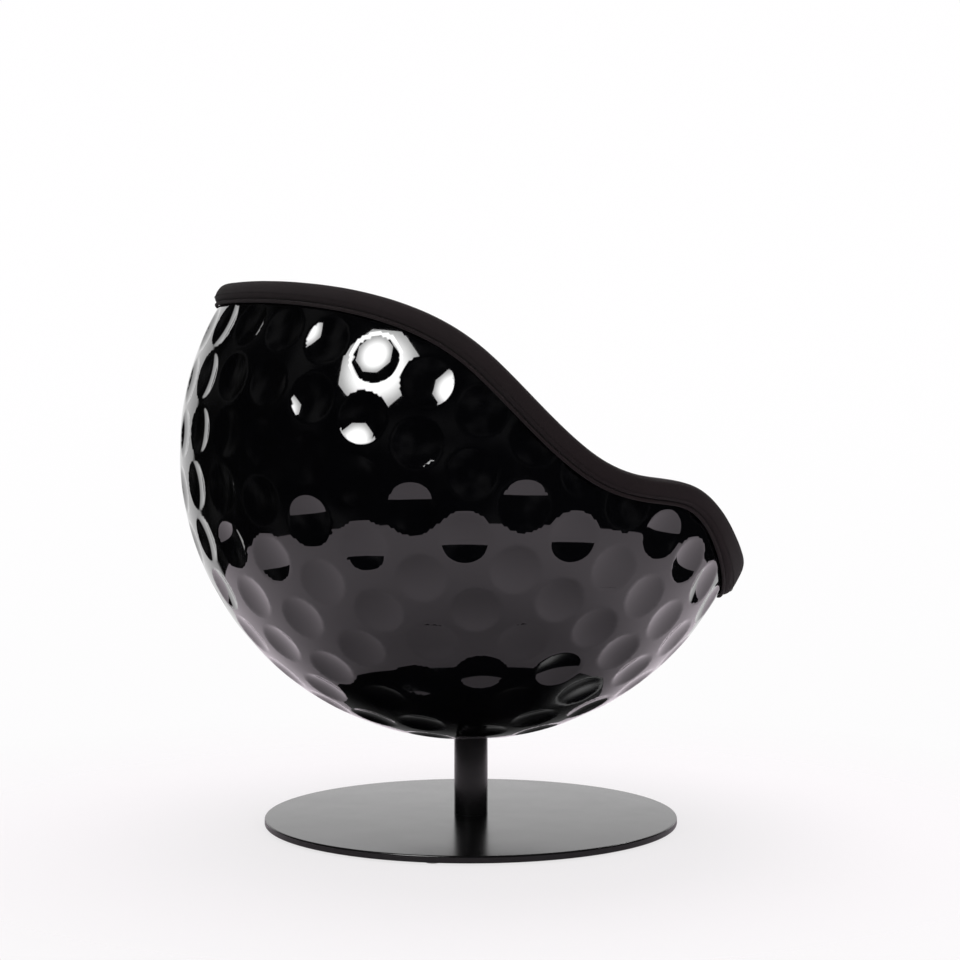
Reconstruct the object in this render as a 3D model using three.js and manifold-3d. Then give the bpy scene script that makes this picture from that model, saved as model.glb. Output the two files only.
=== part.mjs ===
// A swivel lounge chair whose seat is a golf ball with a swooping opening, on a tube column and a round plate.
//
// Millimetres, +Z up. The origin is on the swivel axis at floor level, and the seat faces -Y.
// Two groups: "base" stands still, and "seat" turns about the Z axis.

import * as THREE from "three";
import { mergeVertices } from "three/addons/utils/BufferGeometryUtils.js";
import Module from "manifold-3d";

const wasm = await Module();
wasm.setup();

// ---------------------------------------------------------------- driving dimensions

const TOUCH_GAP = 0.3; // between faces that touch
const WALL_CLEARANCE = 0.45; // between curved walls that nest, beyond what their facets sag
const FACET_SAG = 0.006; // the most that a facet lies inside the ball, as a share of the ball's radius

// Base
const PLATE_DIAMETER = 612;
const PLATE_THICKNESS = 10;
const PLATE_EDGE_ROUND = 3;
const GLIDE_COUNT = 6;
const GLIDE_HEIGHT = 3;
const GLIDE_DIAMETER = 22;
const GLIDE_INSET = 22; // from the plate's edge to a glide's centre
const GLIDE_TURN = 20; // degrees from the front to the first glide
const GLIDE_STEM_DIAMETER = 8;
const GLIDE_STEM_LENGTH = 5;
const COLUMN_DIAMETER = 50;
const COLUMN_WALL = 2.5;
const COLUMN_REACH = 33; // how far the column's top stands above the ball's lowest point
const FOOT_HEIGHT = 24;
const FOOT_SCREW_COUNT = 3;
const FOOT_SCREW_DIAMETER = 8;
const FOOT_SCREW_LENGTH = 26;

// Swivel bearing
const SPINDLE_DIAMETER = 25;
const SPINDLE_END_DIAMETER = 18;
const SPINDLE_END_LENGTH = 24;
const COLLAR_HEIGHT = 12;
const BUSH_LENGTH = 28;
const BUSH_FLANGE = 4;
const BUSH_SPACING = 62; // from the bottom of the upper bush to the bottom of the lower one
const THRUST_WASHER_THICKNESS = 3;
const RETAINING_WASHER_THICKNESS = 3;
const RETAINING_WASHER_DIAMETER = 38;
const RETAINING_PLAY = 1;
const RETAINING_NUT_WIDTH = 27; // across flats
const RETAINING_NUT_HEIGHT = 14;

// Seat mounting
const SWIVEL_PLATE_DIAMETER = 190;
const SWIVEL_PLATE_THICKNESS = 8;
const BOARD_THICKNESS = 18;
const BOLT_COUNT = 4;
const BOLT_DIAMETER = 8;
const BOLT_CIRCLE = 140;
const BOLT_HEAD_WIDTH = 13;
const BOLT_HEAD_HEIGHT = 5.5;
const NUT_HEIGHT = 7;
const HOLE_CLEARANCE = 0.5; // on a bolt's radius
const TABBING_WIDTH = 26;
const POST_COUNT = 4;
const POST_SIDE = 44;
const POST_HEIGHT = 70;
const POST_CIRCLE = 260;
const DECK_SCREW_DIAMETER = 5;
const DECK_SCREW_LENGTH = 45;
const DECK_SCREW_HEAD = 10;

// Ball
const BALL_RADIUS = 425;
const BALL_CLEARANCE = 127; // from the floor to the ball's lowest point
const BALL_SETBACK = 4; // the ball's centre behind the swivel axis
const SHELL_THICKNESS = 12;
const POLE_HOLE_CLEARANCE = 6; // around the column

// Upholstery
const LINING_THICKNESS = 30;
const RIM_COVER = 12; // padding over the shell's edge
const RIM_BAND = 26; // how far the padding reaches down the outside of the ball
const RIM_BAND_FRONT = 54; // the same in the middle of the front
const RIM_PROUD = 12.5; // how far the padding stands out from the ball
const RIM_PROUD_FRONT = 15.5;
const RIM_FRONT_ANGLE = 45; // degrees from the front to where the fuller front has faded out
const WELT_RADIUS = 2.6;
const CUSHION_THICKNESS = 96;
const CUSHION_EDGE_ROUND = 24;
const PIPING_RADIUS = 3.5;
const BACK_PAD_TOP = 168; // above the ball's centre
const BACK_PAD_HALF_ANGLE = 72; // degrees to each side of the back
const BACK_PAD_THICKNESS = 110;
const BACK_PAD_EDGE = 22;

// The opening's edge: height above the ball's equator against the angle from the front, both in degrees.
const OPENING_EDGE = [
  [0, -22.4],
  [15, -20.4],
  [30, -14.4],
  [45, -6.9],
  [57, -5.2],
  [67, -1.8],
  [77, 6.6],
  [87, 16.7],
  [100, 24.4],
  [120, 29.6],
  [150, 32.6],
  [180, 33.9],
];

// Facets
const AROUND = 60; // steps round the ball
const SHELL_ROWS = 12;
const LINING_ROWS = 6;
const ROUND_PLATE = 72;
const ROUND_LARGE = 48;
const ROUND_MEDIUM = 32;
const ROUND_SMALL = 16;

// ---------------------------------------------------------------- derived levels

const BALL_CENTRE = new THREE.Vector3(0, BALL_SETBACK, BALL_CLEARANCE + BALL_RADIUS);
const WALL_GAP = WALL_CLEARANCE + FACET_SAG * BALL_RADIUS;
const PLATE_BOTTOM = GLIDE_HEIGHT;
const PLATE_TOP = PLATE_BOTTOM + PLATE_THICKNESS;
const COLUMN_BOTTOM = PLATE_TOP + TOUCH_GAP;
const COLUMN_TOP = BALL_CLEARANCE + COLUMN_REACH;
const COLUMN_RADIUS = COLUMN_DIAMETER / 2;
const COLUMN_BORE = COLUMN_RADIUS - COLUMN_WALL;
const FLANGE_TOP = COLUMN_TOP + TOUCH_GAP + BUSH_FLANGE;
const THRUST_BOTTOM = FLANGE_TOP + TOUCH_GAP;
const COLLAR_BOTTOM = THRUST_BOTTOM + THRUST_WASHER_THICKNESS + TOUCH_GAP;
const SWIVEL_PLATE_BOTTOM = COLLAR_BOTTOM + COLLAR_HEIGHT + TOUCH_GAP;
const BOARD_BOTTOM = SWIVEL_PLATE_BOTTOM + SWIVEL_PLATE_THICKNESS + TOUCH_GAP;
const BOARD_TOP = BOARD_BOTTOM + BOARD_THICKNESS;
const POST_BOTTOM = BOARD_TOP + TOUCH_GAP;
const DECK_BOTTOM = POST_BOTTOM + POST_HEIGHT + TOUCH_GAP;
const DECK_TOP = DECK_BOTTOM + BOARD_THICKNESS;
const UPPER_BUSH_BOTTOM = COLUMN_TOP - BUSH_LENGTH;
const LOWER_BUSH_BOTTOM = UPPER_BUSH_BOTTOM - BUSH_SPACING;
const SPINDLE_SHOULDER = LOWER_BUSH_BOTTOM - RETAINING_PLAY;
const LINING_OUTER = BALL_RADIUS - SHELL_THICKNESS - WALL_GAP;
const LINING_INNER = BALL_RADIUS - SHELL_THICKNESS - LINING_THICKNESS;
const CUSHION_OUTER = LINING_INNER - WALL_GAP;
const CUSHION_BOTTOM = DECK_TOP + TOUCH_GAP;
const CUSHION_TOP = CUSHION_BOTTOM + CUSHION_THICKNESS;

// ---------------------------------------------------------------- materials

function material(color, roughness, metalness) {
  return new THREE.MeshStandardMaterial({ color, roughness, metalness });
}

const gelcoat = () => material(0x08080a, 0.05, 0);
const fabric = () => material(0x2c292a, 0.95, 0);
const blackSteel = () => material(0x151517, 0.35, 0.4);
const plainSteel = () => material(0x9a9da0, 0.4, 0.9);
const plywood = () => material(0xb08a5a, 0.7, 0);
const nylon = () => material(0xdedcd2, 0.5, 0);
const laminate = () => material(0x8f9a86, 0.6, 0);

// ---------------------------------------------------------------- geometry helpers

const radians = THREE.MathUtils.degToRad;

function part(name, geometry, finish) {
  const mesh = new THREE.Mesh(geometry, finish);
  mesh.name = name;
  return mesh;
}

// A profile of [radius, z] points turned about the Z axis. It runs up the outside, from the axis to the axis,
// or round a closed loop.
function turned(profile, segments = ROUND_SMALL) {
  const points = profile.map(([r, z]) => new THREE.Vector2(r, z));
  return new THREE.LatheGeometry(points, segments).rotateX(Math.PI / 2);
}

// A tube or ring of rectangular section about the Z axis.
function ring(inner, outer, bottom, top, segments = ROUND_SMALL) {
  const profile = [
    [inner, bottom],
    [outer, bottom],
    [outer, top],
    [inner, top],
    [inner, bottom],
  ];
  return turned(profile, segments);
}

function disc(radius, bottom, top, segments = ROUND_SMALL) {
  const profile = [
    [0, bottom],
    [radius, bottom],
    [radius, top],
    [0, top],
  ];
  return turned(profile, segments);
}

// A hexagonal prism about the Z axis, with an optional round hole.
function hexagon(width, bottom, top, holeRadius = 0) {
  const corner = width / Math.sqrt(3);
  const shape = new THREE.Shape();
  for (let k = 0; k < 6; k++) {
    const angle = radians(60 * k);
    const x = corner * Math.cos(angle);
    const y = corner * Math.sin(angle);
    if (k === 0) shape.moveTo(x, y);
    else shape.lineTo(x, y);
  }
  shape.closePath();
  if (holeRadius) {
    const hole = new THREE.Path();
    hole.absarc(0, 0, holeRadius, 0, 2 * Math.PI, true);
    shape.holes.push(hole);
  }
  const settings = { depth: top - bottom, bevelEnabled: false, curveSegments: ROUND_SMALL / 2 };
  return new THREE.ExtrudeGeometry(shape, settings).translate(0, 0, bottom);
}

function solid(geometry) {
  const bare = geometry.clone();
  bare.deleteAttribute("normal");
  bare.deleteAttribute("uv");
  const merged = mergeVertices(bare, 1e-4);
  const vertProperties = new Float32Array(merged.attributes.position.array);
  const triVerts = new Uint32Array(merged.index.array);
  return new wasm.Manifold(new wasm.Mesh({ numProp: 3, vertProperties, triVerts }));
}

function geometryOf(made) {
  const mesh = made.getMesh();
  const geometry = new THREE.BufferGeometry();
  geometry.setAttribute("position", new THREE.BufferAttribute(mesh.vertProperties, 3));
  geometry.setIndex(new THREE.BufferAttribute(mesh.triVerts, 1));
  geometry.computeVertexNormals();
  return geometry;
}

function cut(geometry, tools) {
  const made = tools.reduce((whole, tool) => whole.subtract(solid(tool)), solid(geometry));
  return geometryOf(made);
}

function joined(geometries) {
  const made = geometries.map(solid).reduce((whole, piece) => whole.add(piece));
  return geometryOf(made);
}

// The places of a circular pattern: [x, y, angle] for each.
function circlePattern(count, radius, firstDegrees = 0) {
  return Array.from({ length: count }, (_, k) => {
    const angle = radians(firstDegrees + (360 * k) / count);
    return [radius * Math.sin(angle), -radius * Math.cos(angle), angle];
  });
}

function atEach(places, makeTool) {
  return places.map(([x, y]) => makeTool().translate(x, y, 0));
}

// Six times the volume that indexed faces enclose: negative where they face inwards.
function signedVolume(positions, index) {
  const corner = (k) => new THREE.Vector3().fromArray(positions, 3 * index[k]);
  let total = 0;
  for (let k = 0; k < index.length; k += 3) {
    total += corner(k).dot(corner(k + 1).cross(corner(k + 2)));
  }
  return total;
}

// A closed surface through sections of the same number of points, each a closed loop of points.
// Each four-sided patch is split along its shorter diagonal, which keeps it near the curved surface.
// With closed true the last section joins the first, and otherwise the two end sections are capped.
function lofted(sections, closed) {
  const around = sections[0].length;
  const points = sections.flat();
  const positions = points.flatMap((p) => [p.x, p.y, p.z]);
  const index = [];
  const strips = closed ? sections.length : sections.length - 1;
  for (let i = 0; i < strips; i++) {
    const next = (i + 1) % sections.length;
    for (let j = 0; j < around; j++) {
      const up = (j + 1) % around;
      const a = i * around + j;
      const b = next * around + j;
      const c = next * around + up;
      const d = i * around + up;
      const shorter = points[a].distanceTo(points[c]) <= points[b].distanceTo(points[d]);
      index.push(...(shorter ? [a, b, c, a, c, d] : [a, b, d, b, c, d]));
    }
  }
  if (!closed) {
    const last = (sections.length - 1) * around;
    for (let j = 1; j < around - 1; j++) {
      index.push(0, j, j + 1);
      index.push(last, last + j + 1, last + j);
    }
  }
  if (signedVolume(positions, index) < 0) index.reverse();
  const geometry = new THREE.BufferGeometry();
  geometry.setAttribute("position", new THREE.Float32BufferAttribute(positions, 3));
  geometry.setIndex(index);
  geometry.computeVertexNormals();
  return geometry;
}

// ---------------------------------------------------------------- the ball and its opening

// A smooth curve through the points (a cubic spline that is level at both ends), as a function.
function splineThrough(points) {
  const count = points.length;
  const slopes = new Array(count).fill(0);
  const width = (i) => points[i + 1][0] - points[i][0];
  const rise = (i) => (points[i + 1][1] - points[i][1]) / width(i);
  for (let sweep = 0; sweep < 60; sweep++) {
    for (let i = 1; i < count - 1; i++) {
      const before = 1 / width(i - 1);
      const after = 1 / width(i);
      const pull = 3 * (rise(i - 1) * before + rise(i) * after);
      slopes[i] = (pull - before * slopes[i - 1] - after * slopes[i + 1]) / (2 * (before + after));
    }
  }
  return (x) => {
    let i = 0;
    while (i < count - 2 && x > points[i + 1][0]) i++;
    const w = width(i);
    const t = (x - points[i][0]) / w;
    const start = points[i][1] * (1 + 2 * t) * (1 - t) ** 2 + slopes[i] * w * t * (1 - t) ** 2;
    const end = points[i + 1][1] * t ** 2 * (3 - 2 * t) + slopes[i + 1] * w * t ** 2 * (t - 1);
    return start + end;
  };
}

const edgeHeight = splineThrough(OPENING_EDGE);

// The unit vector at an angle from the front and a height above the equator, in degrees.
function direction(fromFront, height) {
  const around = radians(fromFront);
  const up = radians(height);
  return new THREE.Vector3(
    Math.sin(around) * Math.cos(up),
    -Math.cos(around) * Math.cos(up),
    Math.sin(up),
  );
}

function edgeDirection(fromFront) {
  const folded = Math.abs(((fromFront + 540) % 360) - 180);
  return direction(fromFront, edgeHeight(folded));
}

// The direction that lies a distance down the ball's surface from the opening's edge, square to that edge.
function belowEdge(fromFront, distance) {
  const here = edgeDirection(fromFront);
  const step = 0.5;
  const along = edgeDirection(fromFront + step).sub(edgeDirection(fromFront - step));
  const down = along.cross(here).normalize();
  if (down.z > 0) down.negate();
  const angle = distance / BALL_RADIUS;
  return here.multiplyScalar(Math.cos(angle)).addScaledVector(down, Math.sin(angle)).normalize();
}

function ballPoint(unit, radius) {
  return BALL_CENTRE.clone().addScaledVector(unit, radius);
}

// The height in degrees at which a sphere of that radius crosses a level.
function heightAtLevel(radius, level) {
  return THREE.MathUtils.radToDeg(Math.asin((level - BALL_CENTRE.z) / radius));
}

// The radius of a sphere about the ball's centre where a level cuts it.
function radiusAtLevel(radius, level) {
  return Math.sqrt(radius ** 2 - (level - BALL_CENTRE.z) ** 2);
}

function between(start, end, rows) {
  return Array.from({ length: rows + 1 }, (_, k) => start + ((end - start) * k) / rows);
}

// A column of points from the opening's edge down to a given unit vector, at one radius.
function column(top, bottom, radius, rows) {
  const whole = top.angleTo(bottom);
  return between(0, 1, rows).map((share) => {
    const unit = top
      .clone()
      .multiplyScalar(Math.sin((1 - share) * whole))
      .addScaledVector(bottom, Math.sin(share * whole))
      .normalize();
    return ballPoint(unit, radius);
  });
}

const aroundBall = Array.from({ length: AROUND }, (_, k) => (360 * k) / AROUND);

// The unit vector to a point of the pole hole's rim on a sphere of that radius.
function poleHoleUnit(like, holeRadius, radius) {
  const around = Math.atan2(like.x, -like.y);
  const x = holeRadius * Math.sin(around);
  const y = -holeRadius * Math.cos(around) - BALL_SETBACK;
  return new THREE.Vector3(x, y, -Math.sqrt(radius ** 2 - x ** 2 - y ** 2)).normalize();
}

function outerShell() {
  const holeRadius = COLUMN_RADIUS + POLE_HOLE_CLEARANCE;
  const innerRadius = BALL_RADIUS - SHELL_THICKNESS;
  const sections = aroundBall.map((angle) => {
    const top = belowEdge(angle, RIM_COVER + TOUCH_GAP);
    const outer = column(top, poleHoleUnit(top, holeRadius, BALL_RADIUS), BALL_RADIUS, SHELL_ROWS);
    const inner = column(top, poleHoleUnit(top, holeRadius, innerRadius), innerRadius, SHELL_ROWS);
    return [...outer, ...inner.reverse()];
  });
  return part("outer_shell", lofted(sections, true), gelcoat());
}

function seatLining() {
  const level = DECK_TOP + TOUCH_GAP;
  const sections = aroundBall.map((angle) => {
    const top = belowEdge(angle, RIM_COVER + TOUCH_GAP);
    const around = THREE.MathUtils.radToDeg(Math.atan2(top.x, -top.y));
    const outerFoot = direction(around, heightAtLevel(LINING_OUTER, level));
    const innerFoot = direction(around, heightAtLevel(LINING_INNER, level));
    const outer = column(top, outerFoot, LINING_OUTER, LINING_ROWS);
    const inner = column(top, innerFoot, LINING_INNER, LINING_ROWS);
    return [...outer, ...inner.reverse()];
  });
  return part("seat_lining", lofted(sections, true), fabric());
}

// A size that differs in the middle of the front and fades smoothly to its usual value.
function fadedFromFront(fromFront, usual, front) {
  const folded = Math.abs(((fromFront + 540) % 360) - 180);
  const share = Math.cos(radians(90 * Math.min(1, folded / RIM_FRONT_ANGLE))) ** 2;
  return usual + (front - usual) * share;
}

const rimBand = (fromFront) => fadedFromFront(fromFront, RIM_BAND, RIM_BAND_FRONT);
const rimProud = (fromFront) => fadedFromFront(fromFront, RIM_PROUD, RIM_PROUD_FRONT);

// The padding's section at an angle, as [distance below the edge, distance out from the ball].
function rimSection(fromFront) {
  const band = rimBand(fromFront);
  const proud = rimProud(fromFront);
  const inside = -(SHELL_THICKNESS + LINING_THICKNESS);
  const clear = 1;
  return [
    [RIM_COVER, clear],
    [band, clear],
    [band - 0.5, proud * 0.36],
    [band * 0.92, proud * 0.7],
    [band * 0.78, proud * 0.92],
    [RIM_COVER, proud],
    [4, proud - 1.5],
    [0.5, proud - 6],
    [0, proud - 14],
    [0, inside + 10],
    [2.5, inside + 2.5],
    [RIM_COVER * 0.6, inside],
    [RIM_COVER, inside],
  ];
}

function rimPadding() {
  const sections = aroundBall.map((angle) =>
    rimSection(angle).map(([below, out]) => ballPoint(belowEdge(angle, below), BALL_RADIUS + out)),
  );
  return part("rim_padding", lofted(sections, true), fabric());
}

function rimWelt() {
  const sides = 6;
  const out = 1 + WELT_RADIUS;
  const sections = aroundBall.map((angle) =>
    Array.from({ length: sides }, (_, k) => {
      const turn = (2 * Math.PI * k) / sides;
      const below = rimBand(angle) + WELT_RADIUS + TOUCH_GAP;
      const unit = belowEdge(angle, below + WELT_RADIUS * Math.cos(turn));
      return ballPoint(unit, BALL_RADIUS + out + WELT_RADIUS * Math.sin(turn));
    }),
  );
  return part("rim_welt", lofted(sections, true), fabric());
}

// ---------------------------------------------------------------- cushions

function onBallAxis(mesh) {
  mesh.position.y = BALL_SETBACK;
  return mesh;
}

function cushionCorner() {
  const level = CUSHION_TOP - CUSHION_EDGE_ROUND;
  return { level, radius: radiusAtLevel(CUSHION_OUTER, level) - CUSHION_EDGE_ROUND };
}

function seatCushion() {
  const corner = cushionCorner();
  const side = between(CUSHION_BOTTOM, corner.level, 3).map((z) => [
    radiusAtLevel(CUSHION_OUTER, z),
    z,
  ]);
  const round = [30, 60, 90].map((degrees) => [
    corner.radius + CUSHION_EDGE_ROUND * Math.cos(radians(degrees)),
    corner.level + CUSHION_EDGE_ROUND * Math.sin(radians(degrees)),
  ]);
  const profile = [[0, CUSHION_BOTTOM], ...side, ...round, [0, CUSHION_TOP]];
  return onBallAxis(part("seat_cushion", turned(profile, ROUND_LARGE), fabric()));
}

function seatPiping() {
  const corner = cushionCorner();
  const reach = CUSHION_EDGE_ROUND + PIPING_RADIUS + TOUCH_GAP;
  const tilt = radians(52);
  const centre = [corner.radius + reach * Math.cos(tilt), corner.level + reach * Math.sin(tilt)];
  const geometry = new THREE.TorusGeometry(centre[0], PIPING_RADIUS, 6, ROUND_LARGE);
  const piping = part("seat_piping", geometry.translate(0, 0, centre[1]), fabric());
  return onBallAxis(piping);
}

// A crescent pad against the lining, thickest low down in the middle.
function backPad() {
  const bottom = CUSHION_TOP + WALL_GAP;
  const top = BALL_CENTRE.z + BACK_PAD_TOP;
  const outerRadius = LINING_INNER - WALL_GAP;
  const levels = between(bottom, top, 7);
  const angles = between(180 - BACK_PAD_HALF_ANGLE, 180 + BACK_PAD_HALF_ANGLE, 24);
  const sections = angles.map((angle) => {
    const aside = Math.abs(angle - 180) / BACK_PAD_HALF_ANGLE;
    const outer = levels.map((z) => ballPoint(direction(angle, heightAtLevel(outerRadius, z)), outerRadius));
    const inner = levels.map((z) => {
      const share = (z - bottom) / (top - bottom);
      const fullness = (1 - aside ** 2.5) * (1 - 0.75 * share ** 1.6);
      const thickness = BACK_PAD_EDGE + (BACK_PAD_THICKNESS - BACK_PAD_EDGE) * fullness;
      const unit = direction(angle, 0);
      const across = radiusAtLevel(outerRadius, z) - thickness;
      return new THREE.Vector3(unit.x * across, unit.y * across + BALL_SETBACK, z);
    });
    return [...outer, ...inner.reverse()];
  });
  return part("back_pad", lofted(sections, false), fabric());
}

// ---------------------------------------------------------------- boards and seat mounting

// A board whose edge follows the inside of the shell between two levels.
function roundBoard(bottom, top) {
  const wall = BALL_RADIUS - SHELL_THICKNESS - WALL_GAP;
  const profile = [
    [0, bottom],
    [radiusAtLevel(wall, bottom), bottom],
    [radiusAtLevel(wall, top), top],
    [0, top],
  ];
  return turned(profile, ROUND_LARGE).translate(0, BALL_SETBACK, 0);
}

const boltPlaces = circlePattern(BOLT_COUNT, BOLT_CIRCLE / 2, 45);
const postPlaces = circlePattern(POST_COUNT, POST_CIRCLE / 2, 0);
const boltHole = (bottom, top) => () => disc(BOLT_DIAMETER / 2 + HOLE_CLEARANCE, bottom - 1, top + 1);

function mountingBoard() {
  const holes = atEach(boltPlaces, boltHole(BOARD_BOTTOM, BOARD_TOP));
  return part("mounting_board", cut(roundBoard(BOARD_BOTTOM, BOARD_TOP), holes), plywood());
}

// Glass-fibre tabbing that bonds the mounting board's top edge to the shell.
function boardTabbing() {
  const wall = BALL_RADIUS - SHELL_THICKNESS - WALL_GAP;
  const foot = BOARD_TOP + TOUCH_GAP;
  const top = foot + TABBING_WIDTH;
  const outerFoot = radiusAtLevel(wall, foot);
  const outerTop = radiusAtLevel(wall, top);
  const layer = 3;
  const profile = [
    [outerFoot - TABBING_WIDTH, foot],
    [outerFoot, foot],
    [outerTop, top],
    [outerTop - layer, top],
    [outerFoot - TABBING_WIDTH, foot + layer],
    [outerFoot - TABBING_WIDTH, foot],
  ];
  return onBallAxis(part("board_tabbing", turned(profile, ROUND_LARGE), laminate()));
}

function swivelPlate() {
  const top = SWIVEL_PLATE_BOTTOM + SWIVEL_PLATE_THICKNESS;
  const holes = atEach(boltPlaces, boltHole(SWIVEL_PLATE_BOTTOM, top));
  const plate = disc(SWIVEL_PLATE_DIAMETER / 2, SWIVEL_PLATE_BOTTOM, top, ROUND_MEDIUM);
  return part("swivel_plate", cut(plate, holes), blackSteel());
}

// A bolt from above the board through the swivel plate, with its nut below.
function mountingBolts() {
  const seat = BOARD_TOP + TOUCH_GAP;
  const nutTop = SWIVEL_PLATE_BOTTOM - TOUCH_GAP;
  const shankRadius = BOLT_DIAMETER / 2;
  return boltPlaces.flatMap(([x, y], k) => {
    const head = hexagon(BOLT_HEAD_WIDTH, seat, seat + BOLT_HEAD_HEIGHT);
    const shank = disc(shankRadius, nutTop - NUT_HEIGHT - 3, seat + 1);
    const bolt = part(`mounting_bolt_${k + 1}`, joined([head, shank]), plainSteel());
    const nutGeometry = hexagon(BOLT_HEAD_WIDTH, nutTop - NUT_HEIGHT, nutTop, shankRadius + TOUCH_GAP);
    const nut = part(`mounting_nut_${k + 1}`, nutGeometry, plainSteel());
    bolt.position.set(x, y, 0);
    nut.position.set(x, y, 0);
    return [bolt, nut];
  });
}

const pilotRadius = DECK_SCREW_DIAMETER / 2 + TOUCH_GAP;
const deckPilot = () => disc(pilotRadius, DECK_TOP - DECK_SCREW_LENGTH - 1, DECK_TOP + 1);

function deckPosts() {
  return postPlaces.map(([x, y], k) => {
    const block = new THREE.BoxGeometry(POST_SIDE, POST_SIDE, POST_HEIGHT);
    block.translate(0, 0, POST_BOTTOM + POST_HEIGHT / 2);
    const post = part(`deck_post_${k + 1}`, cut(block, [deckPilot()]), plywood());
    post.position.set(x, y, 0);
    return post;
  });
}

function countersink(headRadius, shankRadius, face, outward) {
  const depth = headRadius - shankRadius;
  const inner = face - outward * depth;
  const profile = [
    [0, inner],
    [shankRadius, inner],
    [headRadius, face],
    [headRadius, face + outward],
    [0, face + outward],
  ];
  return turned(outward > 0 ? profile : profile.reverse());
}

function seatDeck() {
  const sinks = atEach(postPlaces, () =>
    countersink(DECK_SCREW_HEAD / 2 + TOUCH_GAP, pilotRadius, DECK_TOP, 1),
  );
  const holes = atEach(postPlaces, deckPilot);
  return part("seat_deck", cut(roundBoard(DECK_BOTTOM, DECK_TOP), [...sinks, ...holes]), plywood());
}

function deckScrews() {
  const headRadius = DECK_SCREW_HEAD / 2;
  const shankRadius = DECK_SCREW_DIAMETER / 2;
  const profile = [
    [0, DECK_TOP - DECK_SCREW_LENGTH],
    [shankRadius, DECK_TOP - DECK_SCREW_LENGTH + 4],
    [shankRadius, DECK_TOP - (headRadius - shankRadius)],
    [headRadius, DECK_TOP],
    [0, DECK_TOP],
  ];
  return postPlaces.map(([x, y], k) => {
    const screw = part(`deck_screw_${k + 1}`, turned(profile, 12), plainSteel());
    screw.position.set(x, y, 0);
    return screw;
  });
}

// ---------------------------------------------------------------- swivel bearing

function spindle() {
  const radius = SPINDLE_DIAMETER / 2;
  const endRadius = SPINDLE_END_DIAMETER / 2;
  const profile = [
    [0, SPINDLE_SHOULDER - SPINDLE_END_LENGTH],
    [endRadius, SPINDLE_SHOULDER - SPINDLE_END_LENGTH],
    [endRadius, SPINDLE_SHOULDER],
    [radius, SPINDLE_SHOULDER],
    [radius, COLLAR_BOTTOM],
    [COLUMN_RADIUS, COLLAR_BOTTOM],
    [COLUMN_RADIUS, COLLAR_BOTTOM + COLLAR_HEIGHT],
    [0, COLLAR_BOTTOM + COLLAR_HEIGHT],
  ];
  return part("spindle", turned(profile, ROUND_MEDIUM), plainSteel());
}

function retainers() {
  const endRadius = SPINDLE_END_DIAMETER / 2 + TOUCH_GAP;
  const washerTop = SPINDLE_SHOULDER - TOUCH_GAP;
  const washerBottom = washerTop - RETAINING_WASHER_THICKNESS;
  const nutTop = washerBottom - TOUCH_GAP;
  const washer = ring(endRadius, RETAINING_WASHER_DIAMETER / 2, washerBottom, washerTop, ROUND_MEDIUM);
  const nut = hexagon(RETAINING_NUT_WIDTH, nutTop - RETAINING_NUT_HEIGHT, nutTop, endRadius);
  return [
    part("retaining_washer", washer, plainSteel()),
    part("retaining_nut", nut, plainSteel()),
  ];
}

function bushes() {
  const outer = COLUMN_BORE - TOUCH_GAP;
  const bore = SPINDLE_DIAMETER / 2 + TOUCH_GAP;
  const flangeBottom = COLUMN_TOP + TOUCH_GAP;
  const upper = [
    [bore, UPPER_BUSH_BOTTOM],
    [outer, UPPER_BUSH_BOTTOM],
    [outer, flangeBottom],
    [COLUMN_RADIUS, flangeBottom],
    [COLUMN_RADIUS, FLANGE_TOP],
    [bore, FLANGE_TOP],
    [bore, UPPER_BUSH_BOTTOM],
  ];
  const lower = ring(bore, outer, LOWER_BUSH_BOTTOM, LOWER_BUSH_BOTTOM + BUSH_LENGTH, ROUND_MEDIUM);
  const thrustTop = THRUST_BOTTOM + THRUST_WASHER_THICKNESS;
  const thrust = ring(bore, COLUMN_RADIUS, THRUST_BOTTOM, thrustTop, ROUND_MEDIUM);
  return [
    part("upper_bush", turned(upper, ROUND_MEDIUM), nylon()),
    part("lower_bush", lower, nylon()),
    part("thrust_washer", thrust, plainSteel()),
  ];
}

// ---------------------------------------------------------------- column and base plate

const footRadius = COLUMN_BORE - TOUCH_GAP;
const footScrewPlaces = circlePattern(FOOT_SCREW_COUNT, footRadius * 0.58, 60);
const footScrewRadius = FOOT_SCREW_DIAMETER / 2;
const footHoleRadius = footScrewRadius + TOUCH_GAP;

function columnTube() {
  const tube = ring(COLUMN_BORE, COLUMN_RADIUS, COLUMN_BOTTOM, COLUMN_TOP, ROUND_MEDIUM);
  return part("column_tube", tube, blackSteel());
}

function columnFoot() {
  const foot = disc(footRadius, COLUMN_BOTTOM, COLUMN_BOTTOM + FOOT_HEIGHT, ROUND_MEDIUM);
  const holes = atEach(footScrewPlaces, () =>
    disc(footHoleRadius, COLUMN_BOTTOM - 1, COLUMN_BOTTOM + FOOT_HEIGHT + 1),
  );
  return part("column_foot", cut(foot, holes), plainSteel());
}

function footScrews() {
  const headRadius = FOOT_SCREW_DIAMETER - TOUCH_GAP;
  const bottom = PLATE_BOTTOM;
  const profile = [
    [0, bottom],
    [headRadius, bottom],
    [footScrewRadius, bottom + headRadius - footScrewRadius],
    [footScrewRadius, bottom + FOOT_SCREW_LENGTH],
    [0, bottom + FOOT_SCREW_LENGTH],
  ];
  return footScrewPlaces.map(([x, y], k) => {
    const screw = part(`foot_screw_${k + 1}`, turned(profile), plainSteel());
    screw.position.set(x, y, 0);
    return screw;
  });
}

const glidePlaces = circlePattern(GLIDE_COUNT, PLATE_DIAMETER / 2 - GLIDE_INSET, GLIDE_TURN);

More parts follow.
